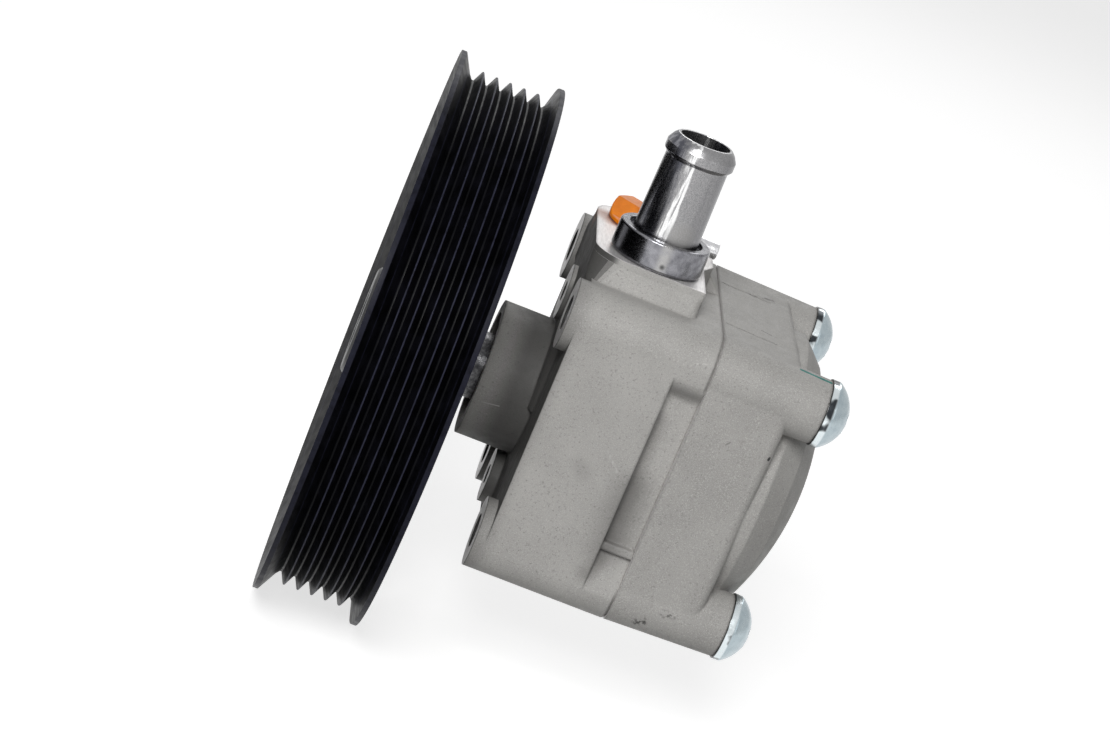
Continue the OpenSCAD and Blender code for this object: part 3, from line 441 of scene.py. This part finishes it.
def hub_steel():
    """Blackened steel with fine turning rings along the shaft and a few darker smears."""
    light, dark = (0.02, 0.02, 0.021), (0.01, 0.01, 0.011)
    s = Shade("hub_steel", 0.0, 0.4)
    rings = s.noise(0.18 * MM, 2.0, (1.0, 0.05, 0.05))
    smear = s.noise(3 * MM, 4.0)
    colour = s.mix(s.ramp(smear, 0.35, 0.8), light, dark)
    colour = s.mix(s.ramp(s.noise(0.5 * MM, 3.0), 0.68, 0.8, 0.0, 0.6), colour, 0.4 * Vector(dark))
    rough = s.math("ADD", s.ramp(rings, 0.3, 0.7, 0.34, 0.48), s.ramp(smear, 0.5, 0.8, 0.0, 0.1))
    normal = s.bump(rings, 0.1, 0.02 * MM, s.bump(s.noise(1.2 * MM, 2.0), 0.06, 0.05 * MM))
    return s.finish(colour, rough, normal)


# Places on the tube and the collar: a worn foot, a painted highlight band, a dark spot and the painted shade of a
# small notch
TUBE_FOOT = (0.0187, -0.0204, 0.0531)
COLLAR_HIGHLIGHT = ((0.0166, -0.0244, 0.0455), (0.0166, -0.0244, 0.051))
COLLAR_SPOT = (0.0169, -0.0244, 0.0461)
COLLAR_NOTCH_SHADE = (0.0073, -0.0101, 0.0512)


def tube_steel():
    """Drawn steel tube with a painted dark reflection on its front side, a painted highlight streak, painted
    shade towards its right edge and a matt worn foot.
    """
    s = Shade("tube_steel", 1.0, 0.2)
    grain = s.noise(0.3 * MM, 3.0)
    streaks = s.noise(1.3 * MM, 3.0, (1.0, 1.0, 0.1))
    facing = s.math("ADD", s.part(s.normal, "X"), s.ramp(streaks, 0.3, 0.7, -0.12, 0.12))
    colour = s.mix(s.ramp(grain, 0.35, 0.65), (0.34, 0.335, 0.34), (0.25, 0.25, 0.255))
    # painted shade: darker towards the tube's right edge
    colour = s.mix(s.ramp(facing, 0.35, 0.95, 0.0, 0.6), colour, (0.16, 0.16, 0.17))
    # painted dark reflection on the front side, with painted lighter streaks in it
    dark_reflection = s.both(s.ramp(facing, -0.65, -0.3, 1.0, 0.0), s.ramp(facing, -1.0, -0.85))
    colour = s.mix(dark_reflection, colour, (0.1, 0.102, 0.12))
    colour = s.mix(s.both(dark_reflection, s.ramp(streaks, 0.46, 0.64, 0.0, 0.8)), colour, (0.36, 0.36, 0.39))
    # painted highlight streak
    painted_highlight = s.both(s.ramp(facing, -0.3, -0.2), s.ramp(facing, -0.16, -0.04, 1.0, 0.0))
    colour = s.mix(painted_highlight, colour, (0.8, 0.8, 0.8))
    worn = s.both(s.near(TUBE_FOOT, 1.5 * MM, 5 * MM), s.ramp(grain, 0.3, 0.6, 0.5, 1.0))
    colour = s.mix(worn, colour, (0.33, 0.325, 0.32))
    roughness = s.math("MULTIPLY_ADD", worn, 0.3, s.ramp(grain, 0.3, 0.7, 0.22, 0.34))
    return s.finish(colour, roughness, s.bump(grain, 0.25, 0.02 * MM))


def collar_steel():
    """Turned collar with darker smears, a painted dark reflection on its front side, a painted highlight band and
    a small dark spot painted as the shade of a notch.
    """
    s = Shade("collar_steel", 1.0, 0.22)
    grain = s.noise(0.3 * MM, 3.0)
    smear = s.noise(2.4 * MM, 4.0)
    colour = s.mix(s.ramp(smear, 0.35, 0.7), (0.27, 0.27, 0.29), (0.15, 0.15, 0.165))
    # painted dark reflection on the collar's front side
    facing = s.math("ADD", s.part(s.normal, "X"), s.ramp(smear, 0.3, 0.7, -0.12, 0.12))
    colour = s.mix(s.ramp(facing, -0.75, -0.35, 0.8, 0.0), colour, (0.05, 0.05, 0.058))
    # painted highlight band
    highlight_band = s.stroke(*COLLAR_HIGHLIGHT, 0.2 * MM, 2.2 * MM)
    colour = s.mix(s.both(highlight_band, s.ramp(smear, 0.3, 0.6, 0.4, 0.9)), colour, (0.4, 0.395, 0.39))
    colour = s.mix(s.near(COLLAR_SPOT, 0.1 * MM, 1.0 * MM), colour, (0.09, 0.09, 0.09))
    # painted shade of a small notch in the collar
    colour = s.mix(s.near(COLLAR_NOTCH_SHADE, 0.5 * MM, 0.9 * MM), colour, (0.02, 0.02, 0.02))
    roughness = s.ramp(grain, 0.3, 0.7, 0.16, 0.3)
    return s.finish(colour, roughness, s.bump(grain, 0.15, 0.02 * MM))


def zinc_plating(seat):
    """Bright bluish zinc, with a painted highlight on the rim beside the seat, painted dark reflections on that
    rim and a dark line at the seat.
    """
    s = Shade("zinc_plating", 1.0, 0.22)
    bloom = s.noise(1.8 * MM, 4.0)
    colour = s.mix(s.ramp(bloom, 0.3, 0.75), (0.45, 0.52, 0.55), (0.37, 0.44, 0.475))
    off = s.math("SUBTRACT", s.part(s.place, "X"), seat)
    rim = s.ramp(off, 1.4 * MM, 1.9 * MM, 1.0, 0.0)
    black_reflections = s.ramp(s.noise(5 * MM, 2.0), 0.52, 0.62)
    # painted highlight on the rim band, then painted dark reflections in it
    colour = s.mix(rim, colour, (0.7, 0.76, 0.78))
    colour = s.mix(s.both(rim, black_reflections), colour, (0.04, 0.045, 0.05))
    colour = s.mix(s.ramp(off, 0.1 * MM, 0.3 * MM, 1.0, 0.0), colour, (0.03, 0.03, 0.03))
    roughness = s.ramp(s.noise(0.8 * MM, 4.0), 0.3, 0.7, 0.16, 0.28)
    return s.finish(colour, roughness, s.bump(s.noise(0.5 * MM, 3.0), 0.15, 0.04 * MM))


def orange_plastic():
    """Smooth moulded orange plastic."""
    s = Shade("orange_plastic", 0.0, 0.4, specular=0.25)
    s.shader.inputs["Subsurface Weight"].default_value = 0.08
    s.shader.inputs["Subsurface Radius"].default_value = (0.002, 0.001, 0.0004)
    colour = s.mix(s.ramp(s.noise(4 * MM, 3.0), 0.3, 0.7), (0.9, 0.25, 0.004), (0.75, 0.19, 0.003))
    roughness = s.ramp(s.noise(1.2 * MM, 3.0), 0.3, 0.7, 0.28, 0.42)
    return s.finish(colour, roughness, s.bump(s.noise(0.4 * MM, 2.0), 0.12, 0.03 * MM))


def rubber():
    """Dull black rubber of the seals."""
    s = Shade("rubber", 0.0, 0.6)
    colour = s.mix(s.noise(1.5 * MM, 3.0), (0.012, 0.012, 0.012), (0.03, 0.03, 0.032))
    roughness = s.ramp(s.noise(0.8 * MM), 0.3, 0.7, 0.5, 0.7)
    return s.finish(colour, roughness, s.bump(s.noise(0.3 * MM), 0.2, 0.03 * MM))


def ground_metal(name, light, dark, roughness):
    """Ground or sintered metal of the inner pieces."""
    s = Shade(name, 1.0, roughness)
    colour = s.mix(s.ramp(s.noise(1.2 * MM, 4.0), 0.3, 0.7), light, dark)
    rough = s.ramp(s.noise(0.4 * MM, 3.0), 0.3, 0.7, roughness - 0.08, roughness + 0.08)
    return s.finish(colour, rough, s.bump(s.noise(0.25 * MM), 0.25, 0.02 * MM))


# Strokes on the castings, marks of paint, wear and dirt and strokes of painted shade: colour, strength,
# torn, start and end in metres, and the half widths in mm at which a stroke is full and gone
HOUSING_MARKS = [
    ((0.66, 0.65, 0.63), 0.8, True, (0.0315, -0.0384, 0.0312), (0.0335, -0.0382, 0.0318), 0.1, 0.6),
    ((0.52, 0.51, 0.5), 0.6, True, (0.0208, -0.0387, 0.0039), (0.0244, -0.0387, 0.0002), 0.0, 0.6),
    ((0.24, 0.235, 0.225), 0.35, False, (0.0158, -0.0387, -0.0018), (0.0172, -0.0387, -0.0032), 0.0, 3.5),
    ((0.44, 0.43, 0.42), 0.7, False, (-0.0093, -0.017, -0.0029), (-0.0051, -0.0171, -0.0023), 0.05, 0.2),
    # painted shade in the channel along the split, darkest towards its lower end, and in the pocket under it
    ((0.1, 0.097, 0.092), 0.45, False, (0.0285, -0.0353, 0.014), (0.0285, -0.0353, -0.019), 0.3, 4.5),
    ((0.1, 0.097, 0.092), 0.65, False, (0.029, -0.0353, -0.004), (0.0295, -0.0353, -0.0185), 0.5, 8.5),
    ((0.1, 0.097, 0.09), 0.6, False, (0.0285, -0.0362, -0.0225), (0.0275, -0.037, -0.026), 0.3, 4.0),
    # painted shade at the channel's top end
    ((0.14, 0.136, 0.13), 0.6, False, (0.03, -0.0353, 0.0235), (0.034, -0.0353, 0.0235), 0.5, 3.5),
    # painted shadow of the plug on the port pad, tinted by orange light bounced off the plug
    ((0.25, 0.1, 0.05), 0.75, False, (0.0035, 0.0125, 0.044), (0.006, 0.0085, 0.044), 1.0, 6.0),
]
COVER_MARKS = [
    ((0.01, 0.15, 0.13), 1.0, False, (0.0557, -0.0308, 0.0373), (0.0631, -0.0311, 0.0371), 0.4, 0.65),
    ((0.03, 0.03, 0.03), 1.0, False, (0.0562, -0.0371, 0.016), (0.0562, -0.0371, 0.0161), 0.4, 0.6),
    ((0.12, 0.115, 0.11), 1.0, False, (0.0465, -0.0107, 0.0373), (0.049, -0.0115, 0.0372), 0.1, 0.3),
    ((0.13, 0.125, 0.12), 0.8, True, (0.045, 0.0177, 0.0373), (0.0511, 0.0208, 0.0371), 0.3, 2.0),
    ((0.05, 0.048, 0.045), 0.9, True, (0.0434, -0.0372, -0.0336), (0.0446, -0.0376, -0.0326), 0.4, 1.8),
    ((0.06, 0.058, 0.055), 0.8, True, (0.0482, -0.0383, -0.0288), (0.0506, -0.0383, -0.0282), 0.2, 1.5),
    ((0.14, 0.135, 0.13), 0.6, False, (0.0454, -0.0381, 0.0158), (0.0461, -0.0381, 0.0167), 0.1, 0.25),
]

# Painted shade on the bolt holes' walls: colour, and from where to where along X, in metres
BORE_SHADE = (0.012, 0.012, 0.012)
BORE_FROM, BORE_TO = 0.0006, 0.015


def hole_shade_marks():
    """Painted shade: black walls for the bolt holes in the housing's bosses, where the record states them."""
    marks = []
    for mount in frame["record"]["mounts"]:
        if mount["kind"] != "bolt_pattern":
            continue
        dims = mount["dims"]
        radius = dims["hole_r_mm"]
        side = 0.5 * dims.get("spacing_x_mm", 0.0) * MM
        up = 0.5 * dims["spacing_y_mm"] * MM
        for y in sorted({-side, side}):
            for z in (-up, up):
                start, end = (BORE_FROM, y, z), (BORE_TO, y, z)
                marks.append((BORE_SHADE, 0.95, False, start, end, radius + 0.02, radius + 0.1))
    return marks


def make_materials():
    """The finishes by name: those of the record's material slots and those of single nodes."""
    pad_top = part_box("pipe_collar")[0][2] + PAD_RISE
    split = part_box("rear_cover")[0][0]
    seats = split + SEAT_LEN
    housing_planes = [("Z", pad_top, 1.0), ("X", 0.0, -1.0), ("X", split, 1.0), ("X", NOSE_FRONT, -1.0)]
    cover_planes = [("X", split, -1.0), ("X", seats, 1.0)]
    return {
        "cast_housing": cast_aluminium("cast_housing", housing_planes, HOUSING_MARKS + hole_shade_marks(), front_shade=True),
        "cast_cover": cast_aluminium("cast_cover", cover_planes, COVER_MARKS, tint=0.9),
        "black_paint": black_paint(),
        "zinc_plating": zinc_plating(seats),
        "tube_steel": tube_steel(),
        "collar_steel": collar_steel(),
        "pin_steel": ground_metal("pin_steel", (0.75, 0.75, 0.76), (0.6, 0.6, 0.62), 0.24),
        "hub_steel": hub_steel(),
        "shaft_steel": ground_metal("shaft_steel", (0.2, 0.2, 0.205), (0.07, 0.07, 0.075), 0.34),
        "steel": ground_metal("steel", (0.62, 0.62, 0.64), (0.5, 0.5, 0.52), 0.26),
        "sintered_steel": ground_metal("sintered_steel", (0.4, 0.4, 0.41), (0.28, 0.28, 0.29), 0.42),
        "bush_bronze": ground_metal("bush_bronze", (0.6, 0.46, 0.27), (0.46, 0.34, 0.2), 0.32),
        "rubber": rubber(),
        "orange_plastic": orange_plastic(),
    }


# Nodes whose finish isn't that of their material slot
OWN_FINISH = {
    "front_housing": "cast_housing",
    "rear_cover": "cast_cover",
    "pulley_hub": "hub_steel",
    "pipe_collar": "collar_steel",
    "drive_shaft": "shaft_steel",
}


def set_finish(piece, finish):
    piece.data.materials.clear()
    piece.data.materials.append(finish)


def dress_nodes(finishes):
    """Every carried-over CAD node gets its own finish, or else that of its material slot."""
    slots = {row["node"]: row["material_slot"] for row in frame["record"]["subparts"]}
    for name, node in NODES.items():
        set_finish(node, finishes[OWN_FINISH.get(name, slots[name])])


def make_spring(finish):
    """The flow valve's spring as a piece of its own on the pump body, in place of the CAD node."""
    spring = bpy.data.objects.new("valve_spring", NODES["flow_valve_spring"].data.copy())
    bpy.context.collection.objects.link(spring)
    set_finish(spring, finish)
    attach(spring, "pump_body")
    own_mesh(spring)
    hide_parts("flow_valve_spring")


# Edges

WELD_DISTANCE = 0.002 * MM
FLAT_ANGLE = math.radians(0.6)
EDGE_SEGMENTS = 2

# Visible nodes with rounded edges: width in mm, and the angle from which an edge is sharp
EDGES = [
    ("pulley", 0.12, 24),
    ("pulley_hub", 0.35, 30),
    ("cover_bolts", 0.2, 30),
    ("pipe_collar", 0.2, 30),
    ("suction_pipe", 0.15, 30),
    ("pipe_lock_pin", 0.2, 30),
    ("pressure_port_plug", 0.4, 30),
]


def round_edges(node, width, angle):
    """Rounds a CAD node's sharp edges without touching its mesh."""
    weld = node.modifiers.new("weld", "WELD")
    weld.merge_threshold = WELD_DISTANCE
    flat = node.modifiers.new("flat", "DECIMATE")
    flat.decimate_type = "DISSOLVE"
    flat.angle_limit = FLAT_ANGLE
    bevel = node.modifiers.new("edges", "BEVEL")
    bevel.width = width
    bevel.segments = EDGE_SEGMENTS
    bevel.limit_method = "ANGLE"
    bevel.angle_limit = math.radians(angle)
    bevel.use_clamp_overlap = False
    bevel.harden_normals = False
    normals = node.modifiers.new("normals", "WEIGHTED_NORMAL")
    normals.keep_sharp = True


make_camera()
make_world()
make_floor()
for name, place, size, power in LAMPS:
    area_light(name, place, size, power)
finishes = make_materials()
dress_nodes(finishes)
make_spring(finishes["steel"])
for name, width, angle in EDGES:
    round_edges(NODES[name], width * MM, angle)

bpy.context.scene.view_settings.view_transform = "Standard"
